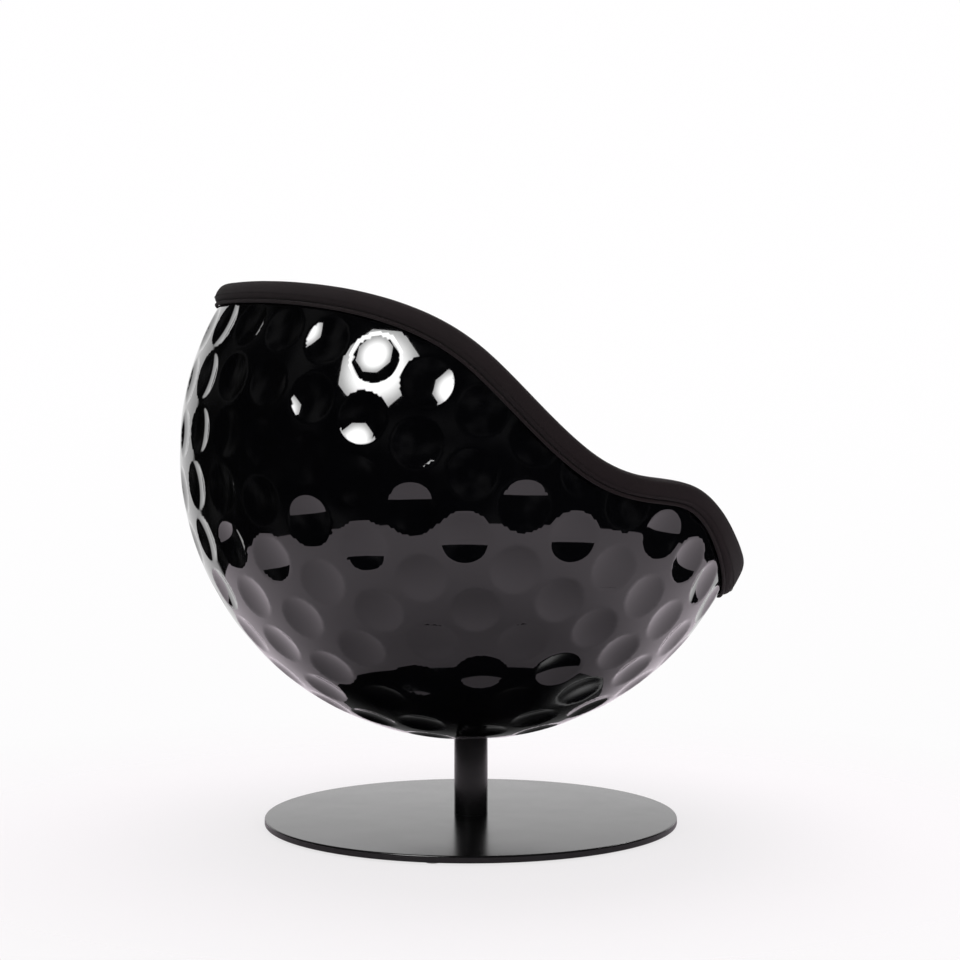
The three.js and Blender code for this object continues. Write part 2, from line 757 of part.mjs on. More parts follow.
function basePlate() {
  const edge = PLATE_DIAMETER / 2;
  const round = [0, 30, 60, 90].map((degrees) => [
    edge - PLATE_EDGE_ROUND + PLATE_EDGE_ROUND * Math.cos(radians(degrees)),
    PLATE_TOP - PLATE_EDGE_ROUND + PLATE_EDGE_ROUND * Math.sin(radians(degrees)),
  ]);
  const profile = [
    [0, PLATE_BOTTOM],
    [edge - 1, PLATE_BOTTOM],
    [edge, PLATE_BOTTOM + 1],
    ...round,
    [0, PLATE_TOP],
  ];
  const stemRadius = GLIDE_STEM_DIAMETER / 2 + TOUCH_GAP;
  const stemTop = PLATE_BOTTOM + GLIDE_STEM_LENGTH + TOUCH_GAP;
  const tools = [
    ...atEach(footScrewPlaces, () => disc(footHoleRadius, PLATE_BOTTOM - 1, PLATE_TOP + 1)),
    ...atEach(footScrewPlaces, () =>
      countersink(FOOT_SCREW_DIAMETER, footHoleRadius, PLATE_BOTTOM, -1),
    ),
    ...atEach(glidePlaces, () => disc(stemRadius, PLATE_BOTTOM - 1, stemTop)),
  ];
  return part("base_plate", cut(turned(profile, ROUND_PLATE), tools), blackSteel());
}

function glides() {
  const radius = GLIDE_DIAMETER / 2;
  const stemRadius = GLIDE_STEM_DIAMETER / 2;
  const shoulder = GLIDE_HEIGHT - TOUCH_GAP;
  const profile = [
    [0, 0],
    [radius - 0.8, 0],
    [radius, 0.8],
    [radius, shoulder],
    [stemRadius, shoulder],
    [stemRadius, PLATE_BOTTOM + GLIDE_STEM_LENGTH],
    [0, PLATE_BOTTOM + GLIDE_STEM_LENGTH],
  ];
  return glidePlaces.map(([x, y], k) => {
    const glide = part(`glide_${k + 1}`, turned(profile), nylon());
    glide.position.set(x, y, 0);
    return glide;
  });
}

// ---------------------------------------------------------------- the chair

const base = new THREE.Group();
base.add(basePlate(), ...glides(), columnTube(), columnFoot(), ...footScrews(), ...bushes());

const seat = new THREE.Group();
seat.add(spindle(), ...retainers(), swivelPlate(), mountingBoard(), boardTabbing());
seat.add(...mountingBolts(), ...deckPosts(), seatDeck(), ...deckScrews());
seat.add(outerShell(), seatLining(), rimPadding(), rimWelt());
seat.add(seatCushion(), seatPiping(), backPad());

const chair = new THREE.Group();
chair.add(base, seat);

export default chair;
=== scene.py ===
"""Looks for the golf ball swivel chair.

A gloss dimpled shell, fabric upholstery, a satin steel base and a pale studio.

Metres, +Z up. The origin is on the swivel axis at floor level, and the chair faces -Y.
"""

import math

import bmesh
import bpy
import numpy as np
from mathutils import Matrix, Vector


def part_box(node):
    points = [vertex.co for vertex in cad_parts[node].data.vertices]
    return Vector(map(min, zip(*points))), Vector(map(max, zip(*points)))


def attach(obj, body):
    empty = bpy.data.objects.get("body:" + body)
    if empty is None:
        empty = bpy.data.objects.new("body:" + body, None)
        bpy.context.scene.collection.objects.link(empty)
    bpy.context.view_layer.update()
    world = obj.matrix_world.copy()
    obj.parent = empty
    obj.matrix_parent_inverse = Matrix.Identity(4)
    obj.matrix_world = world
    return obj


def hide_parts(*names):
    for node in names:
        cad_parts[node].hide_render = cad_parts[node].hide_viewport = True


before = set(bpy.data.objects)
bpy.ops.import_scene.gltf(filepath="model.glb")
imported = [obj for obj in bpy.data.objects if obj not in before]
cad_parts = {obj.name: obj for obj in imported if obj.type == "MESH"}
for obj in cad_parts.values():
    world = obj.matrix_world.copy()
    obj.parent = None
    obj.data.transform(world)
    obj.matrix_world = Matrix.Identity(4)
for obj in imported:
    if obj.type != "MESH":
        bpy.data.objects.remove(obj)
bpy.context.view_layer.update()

# ---------------------------------------------------------------- sizes shared with the CAD

BALL_RADIUS = 0.425
BALL_CENTRE = np.array([0.0, 0.004, 0.552])
SHELL_THICKNESS = 0.012
LINING_THICKNESS = 0.030
RIM_COVER = 0.012
RIM_BAND = 0.026
RIM_BAND_FRONT = 0.054
RIM_PROUD = 0.0125
RIM_PROUD_FRONT = 0.0155
RIM_FRONT_ANGLE = 45
WELT_RADIUS = 0.0026
PIPING_RADIUS = 0.0035
TOUCH_GAP = 0.0003
POLE_HOLE_RADIUS = 0.031

# The opening's edge: height above the ball's equator against the angle from the front, both in degrees.
OPENING_EDGE = [
    (0, -22.4), (15, -20.4), (30, -14.4), (45, -6.9), (57, -5.2), (67, -1.8),
    (77, 6.6), (87, 16.7), (100, 24.4), (120, 29.6), (150, 32.6), (180, 33.9),
]

# The dimples lie in rings about a pole that leans back from straight down.
DIMPLE_RADIUS = 0.0335
DIMPLE_DEPTH = 0.0052
DIMPLE_EDGE = 0.0022  # how far the slope takes to die away past a dimple's edge
DIMPLE_POLE_HEIGHT = -58.25  # degrees above the equator
DIMPLE_POLE_ANGLE = -152.0  # degrees from the front, towards +X
DIMPLE_RING_STEP = 10.32  # degrees between rings
# For each ring out from the pole: how many dimples it has, and the turn to its first, in degrees.
DIMPLE_RINGS = [
    (1, 0.0), (5, 36.6), (11, 1.1), (15, 1.1), (21, 10.3), (25, 9.6), (30, 8.0), (32, 1.4),
    (34, 6.9), (34, 1.6), (33, 7.2), (31, 2.5), (29, 8.0), (26, 3.0),
]


# ---------------------------------------------------------------- the ball and its opening

def spline_slopes(points):
    """Slopes of the cubic spline through the points that is level at both ends."""
    slopes = [0.0] * len(points)
    width = [b[0] - a[0] for a, b in zip(points, points[1:])]
    rise = [(b[1] - a[1]) / w for a, b, w in zip(points, points[1:], width)]
    for _ in range(60):
        for i in range(1, len(points) - 1):
            before = 1 / width[i - 1]
            after = 1 / width[i]
            pull = 3 * (rise[i - 1] * before + rise[i] * after)
            slopes[i] = (pull - before * slopes[i - 1] - after * slopes[i + 1]) / (2 * (before + after))
    return np.array(slopes)


EDGE_X, EDGE_Y = np.array(OPENING_EDGE, float).T
EDGE_SLOPES = spline_slopes(OPENING_EDGE)


def edge_height(from_front):
    """The edge's height in degrees at angles from the front in degrees."""
    x = np.abs((np.asarray(from_front, float) + 540) % 360 - 180)
    i = np.clip(np.searchsorted(EDGE_X, x) - 1, 0, len(EDGE_X) - 2)
    w = EDGE_X[i + 1] - EDGE_X[i]
    t = (x - EDGE_X[i]) / w
    start = EDGE_Y[i] * (1 + 2 * t) * (1 - t) ** 2 + EDGE_SLOPES[i] * w * t * (1 - t) ** 2
    end = EDGE_Y[i + 1] * t ** 2 * (3 - 2 * t) + EDGE_SLOPES[i + 1] * w * t ** 2 * (t - 1)
    return start + end


def direction(from_front, height):
    """Unit vectors at angles from the front and heights above the equator, in degrees."""
    around, up = np.radians(from_front), np.radians(height)
    return np.stack(
        [np.sin(around) * np.cos(up), -np.cos(around) * np.cos(up), np.sin(up) + 0 * around], axis=-1
    )


def unit(vectors):
    return vectors / np.linalg.norm(vectors, axis=-1, keepdims=True)


def edge_direction(angles):
    return direction(angles, edge_height(angles))


def below_edge(angles, distance):
    """Directions a distance down the ball from the opening's edge, square to that edge."""
    here = edge_direction(angles)
    along = edge_direction(angles + 0.5) - edge_direction(angles - 0.5)
    down = unit(np.cross(along, here))
    down[down[..., 2] > 0] *= -1
    turn = np.broadcast_to(np.asarray(distance) / BALL_RADIUS, np.shape(angles))[..., None]
    return here * np.cos(turn) + down * np.sin(turn)


def faded_from_front(angles, usual, front):
    """A size that differs in the middle of the front and fades smoothly to its usual value."""
    folded = np.abs((np.asarray(angles, float) + 540) % 360 - 180)
    share = np.cos(np.radians(90 * np.minimum(1, folded / RIM_FRONT_ANGLE))) ** 2
    return usual + (front - usual) * share


def rim_band(angles):
    return faded_from_front(angles, RIM_BAND, RIM_BAND_FRONT)


def rim_proud(angles):
    return faded_from_front(angles, RIM_PROUD, RIM_PROUD_FRONT)


def on_ball(directions, radius):
    return BALL_CENTRE + directions * radius


# ---------------------------------------------------------------- mesh helpers

def add_object(name, mesh):
    piece = bpy.data.objects.new(name, mesh)
    bpy.context.scene.collection.objects.link(piece)
    return piece


def mesh_object(name, points, faces, smooth=True):
    mesh = bpy.data.meshes.new(name)
    mesh.from_pydata([tuple(p) for p in points], [], faces)
    mesh.validate()
    mesh.update()
    if smooth:
        mesh.shade_smooth()
    return add_object(name, mesh)


def turn_outwards(piece):
    made = bmesh.new()
    made.from_mesh(piece.data)
    bmesh.ops.recalc_face_normals(made, faces=made.faces)
    made.to_mesh(piece.data)
    made.free()


def loft(name, grid, closed=True):
    """A surface through sections, each a closed loop, with a UV map in metres.

    The grid is sections x points x 3.
    """
    sections, around = grid.shape[:2]
    strips = sections if closed else sections - 1
    index = np.arange(sections * around).reshape(sections, around)
    faces, corners = [], []
    step_u = np.linalg.norm(np.diff(grid[:, 0], axis=0, append=grid[:1, 0]), axis=1)
    step_v = np.linalg.norm(np.diff(grid[0], axis=0, append=grid[0, :1]), axis=1)
    u = np.concatenate([[0], np.cumsum(step_u)])
    v = np.concatenate([[0], np.cumsum(step_v)])
    for i in range(strips):
        for j in range(around):
            k, m = (i + 1) % sections, (j + 1) % around
            faces.append((index[i, j], index[k, j], index[k, m], index[i, m]))
            corners += [(u[i], v[j]), (u[i + 1], v[j]), (u[i + 1], v[j + 1]), (u[i], v[j + 1])]
    piece = mesh_object(name, grid.reshape(-1, 3), [tuple(int(n) for n in f) for f in faces])
    layer = piece.data.uv_layers.new(name="cloth")
    layer.data.foreach_set("uv", np.array(corners, np.float32).ravel())
    if not closed:
        for end in (index[0], index[-1]):
            close_end(piece, [int(n) for n in end])
    turn_outwards(piece)
    return piece


def close_end(piece, loop):
    made = bmesh.new()
    made.from_mesh(piece.data)
    made.verts.ensure_lookup_table()
    made.faces.new([made.verts[n] for n in loop])
    made.to_mesh(piece.data)
    made.free()


def lathe(name, profile, segments, centre=(0.0, 0.0)):
    """A profile of (radius, z) points turned about an upright axis. A radius of 0 ends it on the axis."""
    points, faces = [], []
    rings = []
    for radius, z in profile:
        count = 1 if radius == 0 else segments
        rings.append(list(range(len(points), len(points) + count)))
        for k in range(count):
            angle = 2 * math.pi * k / segments
            points.append((centre[0] + radius * math.cos(angle), centre[1] + radius * math.sin(angle), z))
    for low, high in zip(rings, rings[1:]):
        for k in range(segments):
            following = (k + 1) % segments
            face = [low[k % len(low)], low[following % len(low)]]
            face += [high[following % len(high)], high[k % len(high)]]
            faces.append(tuple(dict.fromkeys(face)))
    piece = mesh_object(name, points, faces)
    turn_outwards(piece)
    return piece


def rounded(profile, radius, steps=5):
    """The profile with each inner corner replaced by an arc-like curve."""
    points = [np.array(p, float) for p in profile]
    made = [tuple(points[0])]
    for before, corner, after in zip(points, points[1:], points[2:]):
        reach = min(radius, np.linalg.norm(before - corner) * 0.45, np.linalg.norm(after - corner) * 0.45)
        start = corner + (before - corner) / np.linalg.norm(before - corner) * reach
        end = corner + (after - corner) / np.linalg.norm(after - corner) * reach
        for t in np.linspace(0, 1, steps):
            made.append(tuple((1 - t) ** 2 * start + 2 * t * (1 - t) * corner + t ** 2 * end))
    made.append(tuple(points[-1]))
    return made


def add_subdivision(piece, levels):
    modifier = piece.modifiers.new("Subdivision", "SUBSURF")
    modifier.levels = levels
    modifier.render_levels = levels


def coordinates(mesh):
    values = np.zeros(len(mesh.vertices) * 3, np.float32)
    mesh.vertices.foreach_get("co", values)
    return values.reshape(-1, 3).astype(float)


def vertex_normals(mesh):
    values = np.zeros(len(mesh.vertices) * 3, np.float32)
    mesh.vertex_normals.foreach_get("vector", values)
    return values.reshape(-1, 3).astype(float)


def set_coordinates(mesh, points):
    mesh.vertices.foreach_set("co", points.astype(np.float32).ravel())
    mesh.update()


# ---------------------------------------------------------------- material helpers

class Shader:
    """A Principled material with short calls for its nodes."""

    def __init__(self, name, colour, roughness, **sockets):
        self.material = bpy.data.materials.new(name)
        self.material.use_nodes = True
        self.tree = self.material.node_tree
        self.surface = self.tree.nodes["Principled BSDF"]
        self.surface.inputs["Base Color"].default_value = (*colour, 1)
        self.surface.inputs["Roughness"].default_value = roughness
        for socket, value in sockets.items():
            self.surface.inputs[socket.replace("_", " ")].default_value = value

    def node(self, kind, **inputs):
        made = self.tree.nodes.new(kind)
        for socket, value in inputs.items():
            self.set(made, socket.replace("_", " "), value)
        return made

    def set(self, node, socket, value):
        if isinstance(value, bpy.types.NodeSocket):
            self.tree.links.new(value, node.inputs[socket])
        else:
            node.inputs[socket].default_value = value

    def place(self, source="Object", scale=(1, 1, 1)):
        coordinate = self.node("ShaderNodeTexCoord").outputs[source]
        return self.node("ShaderNodeMapping", Vector=coordinate, Scale=scale).outputs["Vector"]

    def noise(self, where, scale, detail=3.0, roughness=0.55):
        return self.node(
            "ShaderNodeTexNoise", Vector=where, Scale=scale, Detail=detail, Roughness=roughness
        ).outputs["Fac"]

    def wave(self, where, scale, along, distortion=0.0):
        made = self.node("ShaderNodeTexWave", Vector=where, Scale=scale, Distortion=distortion)
        made.bands_direction = along
        return made.outputs["Fac"]

    def math(self, operation, first, second):
        made = self.node("ShaderNodeMath")
        made.operation = operation
        self.set(made, 0, first)
        self.set(made, 1, second)
        return made.outputs["Value"]

    def ramp(self, factor, *stops):
        made = self.node("ShaderNodeValToRGB", Fac=factor)
        elements = made.color_ramp.elements
        while len(elements) < len(stops):
            elements.new(0.5)
        for element, (position, colour) in zip(elements, stops):
            element.position = position
            element.color = (*colour, 1)
        return made.outputs["Color"]

    def spread(self, factor, low, high):
        return self.node("ShaderNodeMapRange", Value=factor, To_Min=low, To_Max=high).outputs["Result"]

    def bump(self, height, strength, distance):
        made = self.node("ShaderNodeBump", Height=height, Strength=strength, Distance=distance)
        self.link(made.outputs["Normal"], "Normal")

    def link(self, value, socket):
        self.tree.links.new(value, self.surface.inputs[socket])


def gelcoat():
    """Gloss black gel coat: a faint orange peel and a little dust-fine haze."""
    made = Shader("gelcoat", (0.0013, 0.0013, 0.0018), 0.03, IOR=1.52, Coat_Weight=0.35, Coat_Roughness=0.02)
    where = made.place()
    haze = made.noise(where, 9, 4)
    made.link(made.spread(haze, 0.018, 0.055), "Roughness")
    made.link(made.ramp(haze, (0.3, (0.001, 0.0011, 0.0016)), (0.75, (0.0019, 0.0019, 0.0025))), "Base Color")
    made.bump(made.noise(where, 38, 2, 0.4), 0.05, 0.0012)
    return made.material


def weave_height(made, where, scale):
    """Over-and-under threads with a little unevenness."""
    warp = made.wave(where, scale, "X", 0.6)
    weft = made.wave(where, scale, "Y", 0.6)
    threads = made.math("MAXIMUM", made.math("MULTIPLY", warp, 0.9), weft)
    fuzz = made.noise(where, scale * 7, 3, 0.7)
    return made.math("ADD", threads, made.math("MULTIPLY", fuzz, 0.7))


def nap_height(made, where, scale):
    """The short uneven nap of a milled wool cloth."""
    tufts = made.noise(where, scale * 2, 3, 0.6)
    fibres = made.noise(where, scale * 6, 3, 0.7)
    return made.math("ADD", made.math("MULTIPLY", tufts, 1.1), made.math("MULTIPLY", fibres, 0.7))


def fabric(name, dark, light, surface=weave_height, source="UV", scale=150, bump=0.55):
    """A dark upholstery cloth with sheen, thread-by-thread colour and slow shading from wear."""
    made = Shader(name, dark, 0.92, Sheen_Weight=0.04, Sheen_Roughness=0.5, Specular_IOR_Level=0.12)
    where = made.place(source)
    height = surface(made, where, scale)
    wear = made.noise(made.place(), 6, 3)
    shade = made.math("ADD", made.math("MULTIPLY", height, 0.55), made.math("MULTIPLY", wear, 0.5))
    made.link(made.ramp(shade, (0.25, dark), (0.95, light)), "Base Color")
    made.link(made.spread(wear, 0.84, 0.98), "Roughness")
    made.bump(height, bump, 0.0008)
    return made.material


def powder_coat():
    """Satin black powder coat on steel: a fine pebbled skin and faint scuffs."""
    made = Shader("powder_coat", (0.005, 0.005, 0.0054), 0.2, Specular_IOR_Level=0.5)
    where = made.place()
    pebbles = made.noise(where, 900, 2, 0.5)
    scuffs = made.noise(where, 14, 5, 0.7)
    made.link(made.spread(scuffs, 0.16, 0.25), "Roughness")
    made.link(made.ramp(scuffs, (0.35, (0.004, 0.004, 0.0044)), (0.8, (0.0085, 0.008, 0.0085))), "Base Color")
    made.bump(pebbles, 0.04, 0.0002)
    return made.material


def bare_steel():
    """Turned, zinc-plated steel with fine tool marks."""
    made = Shader("bare_steel", (0.55, 0.56, 0.57), 0.32, Metallic=1.0)
    where = made.place(scale=(1, 1, 40))
    marks = made.noise(where, 60, 4, 0.6)
    made.link(made.spread(marks, 0.22, 0.45), "Roughness")
    made.link(made.ramp(marks, (0.3, (0.44, 0.45, 0.46)), (0.8, (0.66, 0.66, 0.65))), "Base Color")
    made.bump(marks, 0.1, 0.0002)
    return made.material


def birch_plywood():
    """Birch veneer with long grain, and thin dark glue lines between the plies on the edge."""
    made = Shader("birch_plywood", (0.55, 0.38, 0.22), 0.6)
    grain = made.noise(made.place(scale=(1, 18, 60)), 22, 6, 0.65)
    plies = made.wave(made.place(), 95, "Z", 0.3)
    shade = made.math("ADD", made.math("MULTIPLY", grain, 0.7), made.math("MULTIPLY", plies, 0.35))
    made.link(made.ramp(shade, (0.25, (0.34, 0.21, 0.11)), (0.8, (0.66, 0.48, 0.3))), "Base Color")
    made.link(made.spread(grain, 0.5, 0.75), "Roughness")
    made.bump(grain, 0.25, 0.0004)
    return made.material


def natural_nylon(name="natural_nylon", colour=(0.62, 0.6, 0.54)):
    """Moulded nylon: slightly mottled, with a fine matt grain."""
    made = Shader(name, colour, 0.45, Subsurface_Weight=0.05)
    mottle = made.noise(made.place(), 70, 4)
    dark = tuple(c * 0.85 for c in colour)
    made.link(made.ramp(mottle, (0.3, dark), (0.8, colour)), "Base Color")
    made.link(made.spread(mottle, 0.36, 0.56), "Roughness")
    made.bump(made.noise(made.place(), 1200, 2), 0.1, 0.0002)
    return made.material


def glass_laminate():
    """Resin-wetted glass-fibre mat: crossed strands under a patchy gloss."""
    made = Shader("glass_laminate", (0.3, 0.32, 0.26), 0.4)
    where = made.place()
    strands = made.math("MAXIMUM", made.wave(where, 60, "X", 9), made.wave(where, 60, "Y", 9))
    patches = made.noise(where, 25, 5)
    made.link(made.ramp(strands, (0.2, (0.2, 0.22, 0.17)), (0.9, (0.42, 0.43, 0.34))), "Base Color")
    made.link(made.spread(patches, 0.2, 0.6), "Roughness")
    made.bump(strands, 0.4, 0.0006)
    return made.material


MATERIALS = {
    "shell_gelcoat": gelcoat(),
    "rim_fabric": fabric("rim_fabric", (0.0034, 0.0022, 0.0025), (0.0165, 0.0112, 0.0124)),
    "seat_fabric": fabric(
        "seat_fabric", (0.0048, 0.0034, 0.0038), (0.026, 0.019, 0.0205), nap_height, "Object"
    ),
    "lining_fabric": fabric("lining_fabric", (0.0044, 0.0031, 0.0035), (0.021, 0.0152, 0.0165)),
    "black_steel": powder_coat(),
    "plain_steel": bare_steel(),
    "plywood": birch_plywood(),
    "nylon": natural_nylon(),
    "glide_nylon": natural_nylon("glide_nylon", (0.55, 0.54, 0.5)),
    "glass_fibre": glass_laminate(),
}


def finish_piece(piece, body, slot, *nodes, material=None):
    """Gives a piece its material, picked by the slot name unless another is named, puts it on its body and
    hides the CAD nodes that it stands for.
    """
    piece.data.materials.clear()
    piece.data.materials.append(MATERIALS[material or slot])
    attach(piece, body)
    if nodes:
        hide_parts(*nodes)
    return piece


# ---------------------------------------------------------------- the dimpled shell

def dimple_centres():
    """Unit vectors of the dimples' centres, ring by ring from the leaning pole."""
    pole = direction(DIMPLE_POLE_ANGLE, DIMPLE_POLE_HEIGHT)
    across = unit(np.cross(pole, [0, 0, 1.0]))
    third = np.cross(pole, across)
    centres = []
    for ring, (count, first) in enumerate(DIMPLE_RINGS):
        tilt = math.radians(DIMPLE_RING_STEP * ring)
        for k in range(count):
            turn = math.radians(first + 360 * k / count)
            side = across * -math.cos(turn) + third * math.sin(turn)
            centres.append(pole * math.cos(tilt) + side * math.sin(tilt))
    return np.array(centres)


def nearest(directions, targets):
    """For each direction, the nearest target's number and the angle to it."""
    which = np.zeros(len(directions), int)
    closeness = np.zeros(len(directions))
    for start in range(0, len(directions), 20000):
        dots = directions[start:start + 20000] @ targets.T
        which[start:start + 20000] = dots.argmax(1)
        closeness[start:start + 20000] = dots.max(1)
    return which, np.arccos(np.clip(closeness, -1, 1))


def pull_onto_edges(directions, centres, edge_angle, reach):
    """Moves the directions that lie close to a dimple's edge onto it, so that the edge is crisp."""
    which, angle = nearest(directions, centres)
    near = np.abs(angle - edge_angle) < reach
    middle = centres[which[near]]
    outward = unit(directions[near] - middle * np.sum(directions[near] * middle, axis=1, keepdims=True))
    directions[near] = middle * math.cos(edge_angle) + outward * math.sin(edge_angle)
    return directions


def shell_surface(directions, centres):
    """The dimpled surface's points and normals at the directions."""
    which, angle = nearest(directions, centres)
    distance = angle * BALL_RADIUS
    share = np.clip(distance / DIMPLE_RADIUS, 0, 1)
    radius = BALL_RADIUS - DIMPLE_DEPTH * (1 - share ** 2)
    slope = 2 * DIMPLE_DEPTH * share / DIMPLE_RADIUS
    fade = np.clip((distance - DIMPLE_RADIUS + DIMPLE_EDGE / 2) / DIMPLE_EDGE, 0, 1)
    slope = slope * (1 - fade)
    middle = centres[which]
    along = directions - middle * np.sum(directions * middle, axis=1, keepdims=True)
    outward = along / np.maximum(np.linalg.norm(along, axis=1, keepdims=True), 1e-9)
    outward = unit(outward - directions * np.sum(outward * directions, axis=1, keepdims=True) + 1e-12)
    normals = unit(directions - outward * slope[:, None])
    return on_ball(directions, radius[:, None]), normals


def edge_distance(directions):
    """How far each direction lies below the opening's edge, in metres. It is negative inside the opening."""
    angles = np.degrees(np.arctan2(directions[:, 0], -directions[:, 1]))
    heights = np.degrees(np.arcsin(np.clip(directions[:, 2], -1, 1)))
    side = np.sign(edge_height(angles) - heights)
    _, angle = nearest(directions, edge_direction(np.arange(0, 360, 0.5)))
    return side * angle * BALL_RADIUS


SHELL_SUBDIVISIONS = 8
DIMPLE_EDGE_LOOP = 0.00185  # how far from a dimple's edge the nearest points are pulled onto it


def outer_shell():
    """The gloss ball with its dimples, its pole hole and its opening, as thick as the laminate."""
    made = bmesh.new()
    bmesh.ops.create_icosphere(made, subdivisions=SHELL_SUBDIVISIONS, radius=1.0)
    directions = unit(np.array([v.co for v in made.verts], float))
    centres = dimple_centres()
    reach = DIMPLE_EDGE_LOOP / BALL_RADIUS
    directions = pull_onto_edges(directions, centres, DIMPLE_RADIUS / BALL_RADIUS, reach)
    points, normals = shell_surface(directions, centres)
    from_axis = np.hypot(points[:, 0], points[:, 1])
    below = points[:, 2] < BALL_CENTRE[2]
    on_hole = below & (np.abs(from_axis - POLE_HOLE_RADIUS) < 0.002)
    points[on_hole, :2] *= (POLE_HOLE_RADIUS / from_axis[on_hole])[:, None]
    gone = (below & (from_axis < POLE_HOLE_RADIUS - 0.001)) | (edge_distance(directions) < RIM_COVER + 0.002)
    for vertex, point in zip(made.verts, points):
        vertex.co = point
    made.verts.ensure_lookup_table()
    layer = made.verts.layers.int.new("number")
    for number, vertex in enumerate(made.verts):
        vertex[layer] = number
    bmesh.ops.delete(made, geom=[v for v, out in zip(made.verts, gone) if out], context="VERTS")
    turned_in = bmesh.ops.extrude_edge_only(made, edges=[e for e in made.edges if e.is_boundary])
    for vertex in (v for v in turned_in["geom"] if isinstance(v, bmesh.types.BMVert)):
        outward = unit(np.array(vertex.co) - BALL_CENTRE)
        vertex.co = Vector(np.array(vertex.co) - outward * SHELL_THICKNESS)
    mesh = bpy.data.meshes.new("dimpled_shell")
    numbers = np.array([v[layer] for v in made.verts])
    made.to_mesh(mesh)
    made.free()
    mesh.shade_smooth()
    mesh.normals_split_custom_set_from_vertices([tuple(n) for n in normals[numbers]])
    return finish_piece(add_object("dimpled_shell", mesh), "seat", "shell_gelcoat", "outer_shell")


# ---------------------------------------------------------------- rim padding and its hem

CORNER_CUT = 0.22  # share of each side cut off at either end


def smooth_loop(points, rounds=2):
    """Cuts the corners of a closed outline twice over, which rounds it."""
    points = np.array(points, float)
    for _ in range(rounds):
        following = np.roll(points, -1, axis=0)
        near = points * (1 - CORNER_CUT) + following * CORNER_CUT
        far = points * CORNER_CUT + following * (1 - CORNER_CUT)
        points = np.stack([near, far], 1).reshape(-1, 2)
    return points


def rim_section(band, proud):
    """The padding's section as (distance below the edge, distance out from the ball)."""
    inside = -(SHELL_THICKNESS + LINING_THICKNESS)
    return smooth_loop([
        (RIM_COVER, 0.0012), (band - 0.002, 0.0012), (band, 0.002), (band - 0.0004, proud * 0.36),
        (band * 0.92, proud * 0.72), (band * 0.78, proud * 0.94), (RIM_COVER, proud + 0.0005),
        (0.0035, proud - 0.0008), (-0.0006, proud - 0.005), (-0.0018, proud - 0.014), (-0.002, -0.016),
        (-0.001, inside + 0.010), (0.002, inside + 0.0025), (RIM_COVER * 0.6, inside), (RIM_COVER, inside),
        (RIM_COVER + 0.001, inside + 0.006),
    ])


def gathers(angles, seed):
    """A slow unevenness along the rim, where the fabric was pulled over its edge."""
    rng = np.random.default_rng(seed)
    total = np.zeros(len(angles))
    for cycles in (7, 11, 17, 26, 41, 63):
        total += np.sin(np.radians(angles) * cycles + rng.uniform(0, 2 * math.pi)) / math.sqrt(cycles)
    return total / 1.2


def rim_padding():
    angles = np.arange(0, 360, 0.75)
    sizes = zip(rim_band(angles), rim_proud(angles))
    outlines = np.array([rim_section(band, proud) for band, proud in sizes])
    wander = gathers(angles, 3) * 0.0005
    columns = []
    for below, out in outlines.transpose(1, 2, 0):
        radius = BALL_RADIUS + out + wander * np.clip(out / RIM_PROUD, 0, 1)
        columns.append(on_ball(below_edge(angles, below), radius[:, None]))
    piece = loft("rim_cover", np.stack(columns, axis=1))
    return finish_piece(piece, "seat", "rim_fabric", "rim_padding")


def tube(name, centres, outward, upward, radius, sides=10):
    """A closed tube along points, with two directions square to it at each point."""
    turns = 2 * math.pi * np.arange(sides) / sides
    rings = [
        centres + radius * (outward * math.cos(turn) + upward * math.sin(turn))
        for turn in turns
    ]
    return loft(name, np.stack(rings, axis=1))


def rim_welt():
    """The corded hem that finishes the padding's lower edge."""
    angles = np.arange(0, 360, 0.75)
    middle = below_edge(angles, rim_band(angles) + WELT_RADIUS + TOUCH_GAP)
    above = below_edge(angles, rim_band(angles))
    centres = on_ball(middle, BALL_RADIUS + 0.001 + WELT_RADIUS)
    piece = tube("rim_hem", centres, middle, unit(above - middle), WELT_RADIUS)
    return finish_piece(piece, "seat", "rim_fabric", "rim_welt")


def stitches(name, points, outward, length, every, thickness):
    """Short raised stitches laid end to end along a line of points."""
    steps = np.linalg.norm(np.diff(points, axis=0, append=points[:1]), axis=1)
    where = np.concatenate([[0], np.cumsum(steps)])
    looped = np.concatenate([points, points[:1]])
    facing = np.concatenate([outward, outward[:1]])
    rings, faces = [], []
    shape = [(-0.5, 0.0), (-0.3, 0.8), (0.0, 1.0), (0.3, 0.8), (0.5, 0.0)]
    for start in np.arange(0, where[-1] - length, every):
        for along, bulge in shape:
            s = start + length * (along + 0.5)
            place = np.array([np.interp(s, where, looped[:, k]) for k in range(3)])
            ahead = np.array([np.interp(s + 0.001, where, looped[:, k]) for k in range(3)])
            up = unit(np.array([np.interp(s, where, facing[:, k]) for k in range(3)]))
            side = unit(np.cross(up, ahead - place))
            width = thickness * (0.35 + 0.65 * bulge)
            rings.append([place + side * width * math.cos(t) + up * width * (math.sin(t) + 0.5)
                          for t in np.radians([0, 60, 120, 180, 240, 300])])
    rings = np.array(rings)
    for stitch in range(len(rings) // len(shape)):
        first = stitch * len(shape)
        for i in range(first, first + len(shape) - 1):
            for j in range(6):
                k = (j + 1) % 6
                faces.append((i * 6 + j, (i + 1) * 6 + j, (i + 1) * 6 + k, i * 6 + k))
        faces.append(tuple(first * 6 + j for j in range(6)))
        faces.append(tuple((first + len(shape) - 1) * 6 + j for j in range(6)))
    piece = mesh_object(name, rings.reshape(-1, 3), faces)
    turn_outwards(piece)
    return piece


